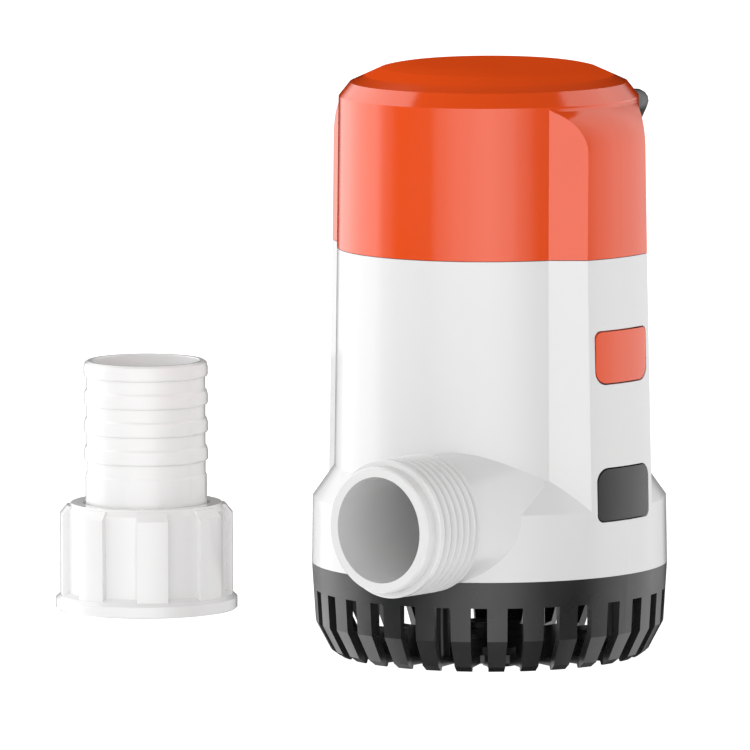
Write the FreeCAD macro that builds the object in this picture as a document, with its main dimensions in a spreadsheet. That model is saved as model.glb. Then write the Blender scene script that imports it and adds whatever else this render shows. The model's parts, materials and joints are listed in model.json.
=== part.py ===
import FreeCAD, Part

import math
import os

import Sketcher

# Submersible cartridge bilge pump with its hose adapter.
# Frame: the pump's axis is Z, its feet stand on z = 0, the outlet points along -Y,
# the two side lugs with the snap buttons are at +X and -X, the cable leaves at +Y.

Vector = FreeCAD.Vector
doc = FreeCAD.newDocument("bilge_pump")

# ---------------------------------------------------------------- driving sizes

DRIVING_SIZES = {
    # strainer
    "foot_radius": 36.8,
    "foot_cone_radius": 38.6,
    "foot_cone_height": 1.3,
    "strainer_bend_radius": 42.1,
    "strainer_bend_height": 7.9,
    "floor_underside": 0.9,
    "floor_top": 2.9,
    "slot_count": 30,
    "slot_width": 4.0,
    "slot_top": 16.0,
    "slot_inner_end": 29.0,
    "mount_circle_radius": 24.0,
    "mount_hole_radius": 2.2,
    "mount_boss_radius": 4.0,
    "mount_boss_top": 4.4,
    "strainer_inner_radius": 40.4,
    "spigot_inner_radius": 38.9,
    "spigot_outer_radius": 40.1,
    "spigot_foot": 17.0,
    "spigot_top": 26.5,
    "post_circle_radius": 31.0,
    "post_radius": 2.0,
    "post_top": 20.2,
    # housing, outside
    "skirt_bottom": 22.3,
    "skirt_bottom_radius": 43.0,
    "skirt_top": 38.3,
    "skirt_top_radius": 42.75,
    "shoulder_top": 45.7,
    "shoulder_top_radius": 37.5,
    "seam_height": 98.6,
    "seam_radius": 36.7,
    "seam_gap": 0.15,
    "lug_seam_radius": 41.45,
    "lug_crease_x": 32.5,
    "lug_crease_y": 17.05,
    "lug_apex_x": 54.4,
    "lug_clear_radius": 62.0,
    "lug_draft": 0.9,
    # housing, inside
    "chamber_radius": 30.0,
    "chamber_floor": 23.0,
    "chamber_roof": 50.0,
    "chamber_outer_radius": 32.6,
    "throat_radius": 27.0,
    "throat_top": 54.4,
    "sleeve_radius": 34.0,
    "skirt_inner_radius": 40.4,
    "skirt_inner_top": 36.8,
    "shoulder_inner_radius": 36.0,
    "shoulder_inner_top": 43.0,
    "cavity_inner_x": 35.2,
    "cavity_outer_radius": 40.4,
    "cavity_half_width": 10.2,
    "cavity_cap_top": 107.0,
    # outlet, G1 pipe thread
    "outlet_x": 15.5,
    "outlet_z": 36.7,
    "outlet_reach": 60.25,
    "outlet_bore_radius": 12.7,
    "outlet_throat_radius": 12.1,
    "outlet_throat_y": -30.0,
    "thread_crest_radius": 16.625,
    "thread_root_radius": 15.145,
    "thread_pitch": 2.309,
    "thread_turns": 6,
    "lead_in_length": 3.1,
    "neck_radius": 15.4,
    "neck_foot_radius": 19.4,
    "neck_foot_y": -19.0,
    "neck_bend": 87.0,
    # cap
    "cap_edge_height": 135.3,
    "cap_edge_radius": 36.2,
    "cap_rim_height": 138.7,
    "cap_rim_radius": 33.5,
    "crown_edge_radius": 26.0,
    "crown_edge_height": 142.1,
    "crown_flat_radius": 18.0,
    "crown_top": 143.2,
    "crown_bend": 34.0,
    "lug_top_height": 124.0,
    "lug_top_radius": 41.25,
    "lug_bevel_height": 134.2,
    "lug_bevel_radius": 36.7,
    "lug_bevel_bend": 13.5,
    "cap_wall": 3.0,
    "cap_recess_radius": 34.2,
    "cap_recess_top": 103.4,
    # snap buttons and arms
    "button_half_width": 9.4,
    "button_half_height": 6.2,
    "button_small_corner": 1.8,
    "button_large_corner": 3.4,
    "button_gap": 0.35,
    "cap_button_height": 75.0,
    "cap_button_radius": 41.98,
    "cap_arm_top": 104.0,
    "strainer_button_height": 42.0,
    "strainer_button_radius": 42.62,
    "strainer_arm_bottom": 17.2,
    "arm_half_width": 6.5,
    "arm_inner_radius": 38.6,
    "arm_outer_radius": 40.0,
    # motor casing
    "casing_bottom": 50.4,
    "casing_spigot_radius": 26.6,
    "casing_shoulder": 54.8,
    "casing_radius": 28.6,
    "casing_bore_radius": 26.6,
    "casing_floor": 57.0,
    "casing_top": 105.5,
    "flange_radius": 33.9,
    "flange_thickness": 2.5,
    "oring_radius": 0.88,
    "oring_circle_radius": 26.02,
    "oring_height": 52.3,
    "cap_oring_circle_radius": 32.9,
    "damper_inner_radius": 16.5,
    "upper_damper_bottom": 95.0,
    "upper_damper_top": 100.0,
    "seal_radius": 7.0,
    # motor
    "can_bottom": 58.0,
    "can_top": 106.0,
    "can_radius": 25.0,
    "can_wall": 1.5,
    "can_hub_radius": 7.2,
    "can_hub_top": 65.2,
    "bush_radius": 5.5,
    "bush_length": 5.0,
    "shaft_radius": 2.5,
    "running_clearance": 0.03,
    "shaft_bottom": 24.4,
    "shaft_top": 112.5,
    "core_radius": 20.2,
    "core_bottom": 69.0,
    "core_top": 93.0,
    "core_slots": 7,
    "magnet_inner_radius": 20.7,
    "magnet_outer_radius": 23.45,
    "winding_overhang": 3.6,
    "winding_inner_radius": 7.6,
    "winding_outer_radius": 16.8,
    "winding_bend": 1.4,
    "commutator_radius": 7.0,
    "commutator_bottom": 98.6,
    "commutator_top": 104.2,
    "brush_width": 4.5,
    "brush_length": 8.0,
    "brush_thickness": 4.0,
    "brush_spring_thickness": 0.35,
    "brush_spring_width": 3.0,
    "end_bell_thickness": 5.0,
    "choke_x": 9.0,
    "choke_y": 6.0,
    # impeller and intake
    "impeller_radius": 22.5,
    "impeller_top": 48.0,
    "impeller_disc_bottom": 45.6,
    "impeller_hub_radius": 5.5,
    "vane_bottom": 25.0,
    "vane_count": 6,
    "vane_thickness": 1.8,
    "intake_plate_radius": 37.6,
    "intake_plate_bottom": 20.6,
    "intake_eye_radius": 13.0,
    "intake_lip_bottom": 18.6,
    "intake_screw_circle": 34.5,
    "screw_boss_radius": 2.9,
    "screw_pilot_radius": 1.3,
    "screw_hole_radius": 1.6,
    # cable
    "cable_radius": 2.8,
    "cable_height": 130.5,
    "gland_inner_y": 31.0,
    "gland_flange_radius": 5.4,
    "gland_web_y": 38.0,
    "gland_tip_y": 45.0,
    "coil_x": -86.0,
    "coil_y": 104.0,
    "coil_mean_radius": 31.0,
    "sheath_end_angle": 220.0,
    "core_wire_radius": 1.2,
    "choke_wire_radius": 1.6,
    "choke_radius": 3.0,
    "choke_length": 12.0,
    "capacitor_radius": 5.0,
    "capacitor_thickness": 2.6,
    # hose adapter
    "adapter_x": -118.0,
    "adapter_y": 9.0,
    "nut_flange_radius": 22.6,
    "nut_flange_height": 3.6,
    "nut_rib_radius": 21.5,
    "nut_rib_count": 8,
    "nut_wall_radius": 19.9,
    "nut_height": 26.5,
    "nut_hole_radius": 15.9,
    "nut_thread_top": 14.0,
    "nut_chamber_radius": 17.4,
    "nut_chamber_top": 23.0,
    "tail_bore_radius": 13.3,
    "tail_bottom": 13.6,
    "tail_foot_radius": 14.9,
    "tail_neck_radius": 15.1,
    "barb_bottom": 33.9,
    "barb_radius": 15.45,
    "barb_groove_radius": 14.8,
    "barb_band": 3.9,
    "barb_groove": 3.1,
    "barb_count": 4,
    "ring_groove_radius": 13.95,
    "ring_bottom": 18.4,
    "ring_thickness": 2.0,
}


class Size:
    """A size in mm, with the sheet formula that gives it."""

    def __init__(self, value, formula):
        self.value = value
        self.formula = formula

    def __add__(self, other):
        return Size(self.value + number(other), f"({self.formula} + {text(other)})")

    def __radd__(self, other):
        return self + other

    def __sub__(self, other):
        return Size(self.value - number(other), f"({self.formula} - {text(other)})")

    def __rsub__(self, other):
        return Size(number(other) - self.value, f"({text(other)} - {self.formula})")

    def __mul__(self, other):
        return Size(self.value * number(other), f"({self.formula} * {text(other)})")

    def __rmul__(self, other):
        return self * other

    def __truediv__(self, other):
        return Size(self.value / number(other), f"({self.formula} / {text(other)})")

    def __neg__(self):
        return Size(-self.value, f"(0 - {self.formula})")


def number(size):
    return size.value if isinstance(size, Size) else size


def text(size):
    return size.formula if isinstance(size, Size) else f"({size:.10g})"


def leg(hypotenuse, other_leg):
    """The second leg of a right-angled triangle, as where a circle crosses a line."""
    value = math.sqrt(number(hypotenuse) ** 2 - number(other_leg) ** 2)
    return Size(value, f"sqrt({text(hypotenuse)}^2 - {text(other_leg)}^2)")


def size_sheet():
    """Write every driving size to the sheet and return its name."""
    sheet = doc.addObject("Spreadsheet::Sheet", "sizes")
    for row, (alias, value) in enumerate(DRIVING_SIZES.items(), start=1):
        sheet.set(f"A{row}", alias.replace("_", " "))
        sheet.set(f"B{row}", str(value))
        sheet.setAlias(f"B{row}", alias)
    doc.recompute()
    return sheet.Name


class Sizes:
    """The driving sizes by name, each bound to its cell."""

    def __init__(self, sheet_name):
        for alias, value in DRIVING_SIZES.items():
            setattr(self, alias, Size(value, f"{sheet_name}.{alias}"))


S = Sizes(size_sheet())

# ---------------------------------------------------------------- sketch and feature helpers


def bind(target, prop, size):
    """Set a property from a plain number, or tie it to the sheet."""
    if isinstance(size, Size):
        target.setExpression(prop, size.formula)
    else:
        setattr(target, prop, size)


def new_body(label, spin=0.0, at=(0, 0, 0)):
    """A PartDesign body, turned about Z by spin degrees and moved to a place."""
    made = doc.addObject("PartDesign::Body", label)
    made.Label = label
    made.Placement = FreeCAD.Placement(Vector(), FreeCAD.Rotation(Vector(0, 0, 1), spin))
    for name, size in zip("xyz", at):
        if isinstance(size, Size):
            made.setExpression(f"Placement.Base.{name}", size.formula)
    return made


def origin_feature(body, role):
    return next(found for found in body.Origin.OriginFeatures if found.Role == role)


class Round:
    """A full circle in a sketch."""

    def __init__(self, x, y, radius):
        self.x = x
        self.y = y
        self.radius = radius


def arc_centre(start, end, bend):
    """Centre of the arc from start to end: on the left of the way there if bend is positive."""
    chord = end - start
    half = chord.Length / 2
    side = Vector(-chord.y, chord.x, 0).normalize() * math.copysign(1, bend)
    return (start + end) * 0.5 + side * math.sqrt(max(bend * bend - half * half, 0))


def place_point(made, geometry, end, x, y):
    """Constrain one end of a sketch line or arc to its coordinates."""
    for kind, axis, size in (("DistanceX", -2, x), ("DistanceY", -1, y)):
        if not isinstance(size, Size) and size == 0:
            made.addConstraint(Sketcher.Constraint("PointOnObject", geometry, end, axis))
            continue
        rule = Sketcher.Constraint(kind, -1, 1, geometry, end, number(size))
        index = made.addConstraint(rule)
        if isinstance(size, Size):
            made.setExpression(f"Constraints[{index}]", size.formula)


def draw_round(made, outline):
    centre = Vector(number(outline.x), number(outline.y), 0)
    circle = Part.Circle(centre, Vector(0, 0, 1), number(outline.radius))
    geometry = made.addGeometry(circle, False)
    index = made.addConstraint(Sketcher.Constraint("Radius", geometry, number(outline.radius)))
    if isinstance(outline.radius, Size):
        made.setExpression(f"Constraints[{index}]", outline.radius.formula)
    place_point(made, geometry, 3, outline.x, outline.y)


def draw_outline(made, outline):
    """A closed outline of points (x, y) or (x, y, bend), where bend is the radius of the arc
    that leaves the point: positive turns anticlockwise, negative clockwise."""
    corners = [Vector(number(point[0]), number(point[1]), 0) for point in outline]
    ends = []
    for index, point in enumerate(outline):
        start, end = corners[index], corners[(index + 1) % len(outline)]
        if len(point) == 2:
            geometry = made.addGeometry(Part.LineSegment(start, end), False)
            ends.append((geometry, 1, 2))
            continue
        bend = number(point[2])
        centre = arc_centre(start, end, bend)
        first, last = (start, end) if bend > 0 else (end, start)
        angles = [math.atan2(p.y - centre.y, p.x - centre.x) for p in (first, last)]
        circle = Part.Circle(centre, Vector(0, 0, 1), abs(bend))
        geometry = made.addGeometry(Part.ArcOfCircle(circle, *angles), False)
        ends.append((geometry, 1, 2) if bend > 0 else (geometry, 2, 1))
        rule = made.addConstraint(Sketcher.Constraint("Radius", geometry, abs(bend)))
        if isinstance(point[2], Size):
            size = point[2] if bend > 0 else -point[2]
            made.setExpression(f"Constraints[{rule}]", size.formula)
    for index, point in enumerate(outline):
        geometry, start, _ = ends[index]
        before, _, end = ends[index - 1]
        made.addConstraint(Sketcher.Constraint("Coincident", before, end, geometry, start))
        place_point(made, geometry, start, point[0], point[1])


def sketch(body, plane, outlines, offset=0.0, axis_x=None):
    """A sketch on one of the body's own origin planes. XY looks down Z, XZ has x along X and
    y along Z, YZ has x along Y and y along Z. offset moves it along the plane's normal:
    +Z, -Y and +X. axis_x adds a turning axis parallel to the sketch's y at that x."""
    made = body.newObject("Sketcher::SketchObject", f"{body.Name}_sketch")
    made.AttachmentSupport = (origin_feature(body, f"{plane}_Plane"), [""])
    made.MapMode = "FlatFace"
    if isinstance(offset, Size):
        made.setExpression("AttachmentOffset.Base.z", offset.formula)
    else:
        made.AttachmentOffset = FreeCAD.Placement(Vector(0, 0, offset), FreeCAD.Rotation())
    for outline in outlines:
        if isinstance(outline, Round):
            draw_round(made, outline)
        else:
            draw_outline(made, outline)
    if axis_x is not None:
        start = Vector(number(axis_x), -1, 0)
        line = made.addGeometry(Part.LineSegment(start, start + Vector(0, 2, 0)), True)
        made.addConstraint(Sketcher.Constraint("Vertical", line))
        made.addConstraint(Sketcher.Constraint("Distance", line, 2.0))
        place_point(made, line, 1, axis_x, -1.0)
    return made


def feature(body, kind, profile, **settings):
    """Add a PartDesign feature made from a sketch, and make it the body's tip."""
    made = body.newObject(f"PartDesign::{kind}", f"{body.Name}_{kind.lower()}")
    made.Profile = profile
    for name, size in settings.items():
        bind(made, name, size)
    body.Tip = made
    return made


def turn(body, outline, cut=False, **extra):
    """Turn an outline (radius, height) about Z."""
    profile = sketch(body, "XZ", [outline])
    kind = "Groove" if cut else "Revolution"
    return feature(body, kind, profile, ReferenceAxis=(profile, ["V_Axis"]), Angle=360.0, **extra)


def turn_outlet(body, outline, cut=False):
    """Turn an outline (x, y) in the outlet's level plane about the outlet's axis."""
    profile = sketch(body, "XY", [outline], offset=S.outlet_z, axis_x=S.outlet_x)
    kind = "Groove" if cut else "Revolution"
    return feature(body, kind, profile, ReferenceAxis=(profile, ["Axis0"]), Angle=360.0)


def raise_up(body, outlines, bottom, height):
    """Pad outlines upwards from a height."""
    return feature(body, "Pad", sketch(body, "XY", outlines, bottom), Length=height)


def sink(body, outlines, top, depth):
    """Pocket outlines downwards from a height."""
    return feature(body, "Pocket", sketch(body, "XY", outlines, top), Length=depth)


def around(body, source, count):
    """Repeat a feature evenly about Z."""
    made = body.newObject("PartDesign::PolarPattern", f"{body.Name}_pattern")
    made.Originals = [source]
    made.Axis = (origin_feature(body, "Z_Axis"), [""])
    made.Angle = 360.0
    bind(made, "Occurrences", count)
    body.Tip = made
    return made


def block(x0, y0, x1, y1):
    """A rectangle's outline."""
    return [(x0, y0), (x1, y0), (x1, y1), (x0, y1)]


def ring(inner, outer, bottom, top):
    """The turned outline of a plain ring."""
    return block(inner, bottom, outer, top)


def circle_places(radius, first_angle, count):
    """Evenly spaced places on a circle, as sheet formulas."""
    step = 2 * math.pi / count
    angles = [math.radians(first_angle) + step * index for index in range(count)]
    return [(radius * math.cos(angle), radius * math.sin(angle)) for angle in angles]


def rounded_window(half_width, half_height, centre, low_corner, high_corner):
    """A rounded rectangle about y = 0, with its own corner sizes below and above."""
    left, right = -half_width, half_width
    low, high = centre - half_height, centre + half_height
    return [
        (left + low_corner, low),
        (right - low_corner, low, low_corner),
        (right, low + low_corner),
        (right, high - high_corner, high_corner),
        (right - high_corner, high),
        (left + high_corner, high, high_corner),
        (left, high - high_corner),
        (left, low + low_corner, low_corner),
    ]


def part_solid(label, shape):
    """A sub-part whose solid is made with Part's own functions."""
    made = doc.addObject("Part::Feature", label)
    made.Label = label
    made.Shape = shape
    made.Placement = FreeCAD.Placement()
    return made


# ---------------------------------------------------------------- shared outlines


def lug_trim():
    """Everything outside the two lugs in plan, level with the seam: a wide circle around the
    bow-tie that they make with the pump's middle. Each lug's flat sides leave the round body at
    a crease and lean towards each other, as if to meet at an apex beyond the lug's face."""
    outline = []
    for side in (1, -1):
        outline += [
            (side * S.lug_crease_x, side * -S.lug_crease_y),
            (side * S.lug_apex_x, 0),
            (side * S.lug_crease_x, side * S.lug_crease_y),
        ]
    return [Round(0, 0, S.lug_clear_radius), outline]


def cavity_plan(side):
    """The pocket inside a lug where the snap arms move. side is +1 or -1."""
    corner_x = leg(S.cavity_outer_radius, S.cavity_half_width)
    return [
        (side * S.cavity_inner_x, -side * S.cavity_half_width),
        (side * corner_x, -side * S.cavity_half_width, S.cavity_outer_radius),
        (side * corner_x, side * S.cavity_half_width),
        (side * S.cavity_inner_x, side * S.cavity_half_width),
    ]


# ---------------------------------------------------------------- strainer and intake


def strainer_base():
    body = new_body("strainer_base")
    turn(body, [
        (0, S.floor_underside),
        (S.foot_radius - 0.8, S.floor_underside),
        (S.foot_radius - 0.5, 0),
        (S.foot_radius, 0),
        (S.foot_cone_radius, S.foot_cone_height),
        (S.strainer_bend_radius, S.strainer_bend_height),
        (S.skirt_bottom_radius, S.skirt_bottom - 0.05),
        (S.strainer_inner_radius, S.skirt_bottom - 0.05),
        (S.strainer_inner_radius, S.strainer_bend_height + 1),
        (S.foot_radius, S.floor_top),
        (0, S.floor_top),
    ])
    slot_end = S.skirt_bottom_radius + 3
    half = S.slot_width / 2
    slot = sink(body, [[
        (-half, -slot_end),
        (half, -slot_end),
        (half, -S.foot_radius),
        (0.5, -S.slot_inner_end),
        (-0.5, -S.slot_inner_end),
        (-half, -S.foot_radius),
    ]], S.slot_top, S.slot_top + 1)
    around(body, slot, S.slot_count)
    turn(body, [
        (S.spigot_inner_radius, S.spigot_foot),
        (S.strainer_inner_radius + 0.3, S.spigot_foot - 1),
        (S.strainer_inner_radius + 0.3, S.skirt_bottom - 1),
        (S.spigot_outer_radius, S.skirt_bottom),
        (S.spigot_outer_radius, S.spigot_top - 0.6),
        (S.spigot_outer_radius - 0.6, S.spigot_top),
        (S.spigot_inner_radius, S.spigot_top),
    ])
    notch_x = S.strainer_inner_radius - 0.02
    for side in (1, -1):
        notch = block(side * 36, -S.cavity_half_width, side * notch_x, S.cavity_half_width)
        sink(body, [notch], S.spigot_top + 1, S.spigot_top - S.spigot_foot + 3)
    inner, outer = S.spigot_inner_radius - 0.2, S.spigot_outer_radius + 0.1
    below_outlet = [
        (-2, -leg(inner, 2)),
        (-2, -leg(outer, 2), outer),
        (35.5, -leg(outer, 35.5)),
        (35.5, -leg(inner, 35.5), -inner),
    ]
    sink(body, [below_outlet], S.spigot_top + 1, S.spigot_top + 1 - S.skirt_bottom + 0.7)
    mounts = circle_places(S.mount_circle_radius, 45, 4)
    bosses = [Round(x, y, S.mount_boss_radius) for x, y in mounts]
    raise_up(body, bosses, 0, S.mount_boss_top)
    posts = circle_places(S.post_circle_radius, 17.7, 4)
    raise_up(body, [Round(x, y, S.post_radius) for x, y in posts], S.floor_underside,
             S.post_top - S.floor_underside)
    holes = [Round(x, y, S.mount_hole_radius) for x, y in mounts]
    sink(body, holes, S.mount_boss_top + 1, S.mount_boss_top + 2)
    return body


def intake_plate():
    body = new_body("intake_plate")
    turn(body, [
        (S.intake_eye_radius, S.intake_lip_bottom),
        (S.intake_eye_radius + 2.2, S.intake_lip_bottom),
        (S.intake_eye_radius + 2.2, S.intake_plate_bottom),
        (S.intake_plate_radius, S.intake_plate_bottom),
        (S.intake_plate_radius, S.chamber_floor),
        (S.chamber_radius - 0.2, S.chamber_floor),
        (S.chamber_radius - 0.2, S.chamber_floor + 0.8),
        (S.intake_eye_radius, S.chamber_floor + 0.8),
    ])
    places = circle_places(S.intake_screw_circle, 60, 4)
    holes = [Round(x, y, S.screw_hole_radius) for x, y in places]
    sink(body, holes, S.chamber_floor + 1, 5)
    return body


def pan_screw(name, place, head_bottom, head_height, head_radius, shank_radius, length):
    """A slotted pan-head screw driven upwards."""
    head = doc.addObject("Part::Cylinder", f"{name}_head")
    head.Radius = head_radius
    head.Height = head_height
    shank = doc.addObject("Part::Cylinder", f"{name}_shank")
    shank.Radius = shank_radius
    shank.Height = length + 0.5
    drive = doc.addObject("Part::Box", f"{name}_drive")
    drive.Length = head_radius * 1.2
    drive.Width = 0.7
    drive.Height = head_height * 0.5 + 1
    bottoms = {
        head: head_bottom,
        shank: head_bottom + head_height - 0.5,
        drive: head_bottom - 1,
    }
    for solid, bottom in bottoms.items():
        shift_x, shift_y = (-head_radius * 0.6, -0.35) if solid is drive else (0, 0)
        for axis, size in zip("xyz", (place[0] + shift_x, place[1] + shift_y, bottom + 0)):
            solid.setExpression(f"Placement.Base.{axis}", text(size))
    whole = doc.addObject("Part::Fuse", f"{name}_blank")
    whole.Base = head
    whole.Tool = shank
    made = doc.addObject("Part::Cut", name)
    made.Base = whole
    made.Tool = drive
    return made


def screw_set(label, places, **screw):
    """Identical screws as one group of separate solids."""
    group = doc.addObject("Part::Compound", label)
    group.Label = label
    group.Links = [pan_screw(f"{label}_{n}", place, **screw) for n, place in enumerate(places)]
    return group


def intake_plate_screws():
    places = circle_places(S.intake_screw_circle, 60, 4)
    return screw_set("intake_plate_screws", places, head_bottom=S.intake_plate_bottom - 1.6,
                     head_height=1.6, head_radius=2.6, shank_radius=1.25, length=9)


# ---------------------------------------------------------------- housing


def pump_housing():
    body = new_body("pump_housing")
    turn(body, [
        (0, S.skirt_top),
        (S.skirt_top_radius, S.skirt_top),
        (S.lug_seam_radius, S.seam_height),
        (0, S.seam_height),
    ])
    feature(body, "Pocket", sketch(body, "XY", lug_trim(), S.seam_height),
            Length=S.seam_height - S.skirt_top, TaperAngle=S.lug_draft)
    turn(body, [
        (0, S.skirt_bottom),
        (S.skirt_bottom_radius, S.skirt_bottom),
        (S.skirt_top_radius, S.skirt_top),
        (S.shoulder_top_radius, S.shoulder_top),
        (S.seam_radius, S.seam_height),
        (0, S.seam_height),
    ])
    turn(body, [
        (S.chamber_outer_radius, S.skirt_bottom - 1),
        (S.skirt_inner_radius, S.skirt_bottom - 1),
        (S.skirt_inner_radius, S.skirt_inner_top),
        (S.shoulder_inner_radius, S.shoulder_inner_top),
        (S.chamber_outer_radius, S.shoulder_inner_top),
    ], cut=True)
    outlet_outside(body)
    turn(body, [
        (0, S.skirt_bottom - 20),
        (S.skirt_bottom_radius + 0.4, S.skirt_bottom - 20),
        (S.skirt_bottom_radius + 0.4, S.skirt_bottom),
        (S.intake_plate_radius + 0.3, S.skirt_bottom),
        (S.intake_plate_radius + 0.3, S.chamber_floor),
        (S.chamber_radius, S.chamber_floor),
        (S.chamber_radius, S.chamber_roof),
        (S.throat_radius, S.chamber_roof),
        (S.throat_radius, S.throat_top),
        (S.sleeve_radius, S.throat_top),
        (S.sleeve_radius, S.seam_height + 1),
        (0, S.seam_height + 1),
    ], cut=True)
    turn_outlet(body, [
        (S.outlet_x, -S.outlet_reach - 1),
        (S.outlet_x + S.outlet_bore_radius, -S.outlet_reach - 1),
        (S.outlet_x + S.outlet_bore_radius, S.outlet_throat_y),
        (S.outlet_x + S.outlet_throat_radius, S.outlet_throat_y),
        (S.outlet_x + S.outlet_throat_radius, 0),
        (S.outlet_x, 0),
    ], cut=True)
    places = circle_places(S.intake_screw_circle, 60, 4)
    bosses = [Round(x, y, S.screw_boss_radius) for x, y in places]
    raise_up(body, bosses, S.chamber_floor, 11.0)
    pilot_holes = [Round(x, y, S.screw_pilot_radius) for x, y in places]
    sink(body, pilot_holes, S.chamber_floor + 9.5, 11)
    for side in (1, -1):
        sink(body, [cavity_plan(side)], S.seam_height + 1, S.seam_height - S.skirt_bottom + 2)
    lug_windows(body)
    return body


def outlet_outside(body):
    """The threaded outlet: lead-in, thread and the neck that widens into the housing."""
    face = -S.outlet_reach
    thread_start = face + S.lead_in_length
    thread_length = S.thread_pitch * (S.thread_turns + 0.5)
    thread_end = thread_start + thread_length
    axis = S.outlet_x
    turn_outlet(body, [
        (axis, face),
        (axis + S.thread_root_radius - 0.4, face),
        (axis + S.thread_root_radius, face + 0.4),
        (axis + S.thread_root_radius, thread_start),
        (axis + S.thread_crest_radius - 0.3, thread_start),
        (axis + S.thread_crest_radius, thread_start + 0.3),
        (axis + S.thread_crest_radius, thread_end),
        (axis + S.neck_radius, thread_end + 0.8, -S.neck_bend),
        (axis + S.neck_foot_radius, S.neck_foot_y),
        (axis + S.thread_root_radius, 0),
        (axis, 0),
    ])
    first = thread_start + S.thread_pitch
    valley = turn_outlet(body, [
        (axis + S.thread_root_radius, first + 0.12),
        (axis + S.thread_crest_radius + 0.4, first - 1.0),
        (axis + S.thread_crest_radius + 0.4, first + 1.5),
        (axis + S.thread_root_radius, first + 0.38),
    ], cut=True)
    pattern = body.newObject("PartDesign::LinearPattern", "thread_pattern")
    pattern.Originals = [valley]
    pattern.Direction = (origin_feature(body, "Y_Axis"), [""])
    pattern.Mode = "Spacing"
    bind(pattern, "Offset", S.thread_pitch)
    bind(pattern, "Occurrences", S.thread_turns)
    body.Tip = pattern


def lug_windows(body):
    """The openings that the snap buttons sit in, through both lugs' outer walls."""
    window_half_width = S.button_half_width + S.button_gap
    window_half_height = S.button_half_height + S.button_gap
    buttons = (
        (S.cap_button_height, S.button_large_corner, S.button_small_corner),
        (S.strainer_button_height, S.button_small_corner, S.button_large_corner),
    )
    start = S.cavity_outer_radius - 3
    for height, low_corner, high_corner in buttons:
        outline = rounded_window(window_half_width, window_half_height, height, low_corner, high_corner)
        for side in (1, -1):
            profile = sketch(body, "YZ", [outline], offset=side * start)
            feature(body, "Pocket", profile, Length=S.skirt_bottom_radius - start + 4,
                    Reversed=side > 0)


# ---------------------------------------------------------------- cap and casing


def motor_cap():
    body = new_body("motor_cap")
    foot = S.seam_height + S.seam_gap
    turn(body, [
        (0, foot),
        (S.lug_seam_radius, foot),
        (S.lug_top_radius, S.lug_top_height, S.lug_bevel_bend),
        (S.lug_bevel_radius, S.lug_bevel_height),
        (S.cap_rim_radius - 0.2, S.cap_rim_height),
        (0, S.cap_rim_height),
    ])
    feature(body, "Pocket", sketch(body, "XY", lug_trim(), foot), Reversed=True,
            Length=S.cap_rim_height + 1 - foot, TaperAngle=-S.lug_draft)
    turn(body, [
        (0, foot),
        (S.seam_radius, foot),
        (S.cap_edge_radius, S.cap_edge_height),
        (S.cap_rim_radius, S.cap_rim_height),
        (S.crown_edge_radius, S.crown_edge_height, S.crown_bend),
        (S.crown_flat_radius, S.crown_top),
        (0, S.crown_top),
    ])
    turn(body, [
        (0, foot - 1),
        (S.cap_recess_radius, foot - 1),
        (S.cap_recess_radius, S.cap_recess_top),
        (S.seam_radius - S.cap_wall, S.cap_recess_top),
        (S.cap_edge_radius - S.cap_wall, S.cap_edge_height - 2),
        (S.crown_edge_radius, S.crown_edge_height - S.cap_wall),
        (0, S.crown_top - S.cap_wall),
    ], cut=True)
    for side in (1, -1):
        sink(body, [cavity_plan(side)], S.cavity_cap_top, S.cavity_cap_top - foot + 1)
    hole = sketch(body, "XZ", [Round(0, S.cable_height, 3.6)], offset=-S.cap_edge_radius - 4)
    feature(body, "Pocket", hole, Length=12.0, Reversed=True)
    seat = sketch(body, "XZ", [Round(0, S.cable_height, S.gland_flange_radius + 0.2)],
                  offset=-(S.gland_inner_y - 8))
    feature(body, "Pocket", seat, Length=10.1)
    return body


def motor_casing():
    body = new_body("motor_casing")
    flange_bottom = S.seam_height + S.seam_gap
    groove_half = S.oring_radius + 0.05
    turn(body, [
        (3.4, S.casing_bottom),
        (S.casing_spigot_radius, S.casing_bottom),
        (S.casing_spigot_radius, S.oring_height - groove_half),
        (S.oring_circle_radius - S.oring_radius - 0.05, S.oring_height - groove_half),
        (S.oring_circle_radius - S.oring_radius - 0.05, S.oring_height + groove_half),
        (S.casing_spigot_radius, S.oring_height + groove_half),
        (S.casing_spigot_radius, S.casing_shoulder),
        (S.casing_radius, S.casing_shoulder),
        (S.casing_radius, flange_bottom),
        (S.flange_radius, flange_bottom),
        (S.flange_radius, flange_bottom + S.flange_thickness),
        (S.casing_radius, flange_bottom + S.flange_thickness),
        (S.casing_radius, S.casing_top),
        (S.casing_bore_radius, S.casing_top),
        (S.casing_bore_radius, S.casing_floor),
        (3.4, S.casing_floor),
    ])
    turn(body, ring(0.5, 7.05, S.casing_bottom - 1, S.casing_bottom + 5), cut=True)
    places = circle_places(S.can_hub_radius + 6, 0, 2)
    sink(body, [Round(x, y, S.screw_hole_radius) for x, y in places], S.casing_floor + 1, 8)
    sink(body, [Round(x, y, 3.0) for x, y in places], S.casing_bottom + 2.6, 4)
    return body


def torus(label, circle_radius, section_radius, height):
    made = doc.addObject("Part::Torus", label)
    made.Label = label
    bind(made, "Radius1", circle_radius)
    bind(made, "Radius2", section_radius)
    made.setExpression("Placement.Base.z", text(height))
    return made


def turned(label, outline, spin=0.0):
    """A sub-part that is one turned solid."""
    body = new_body(label, spin)
    turn(body, outline)
    return body


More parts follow.
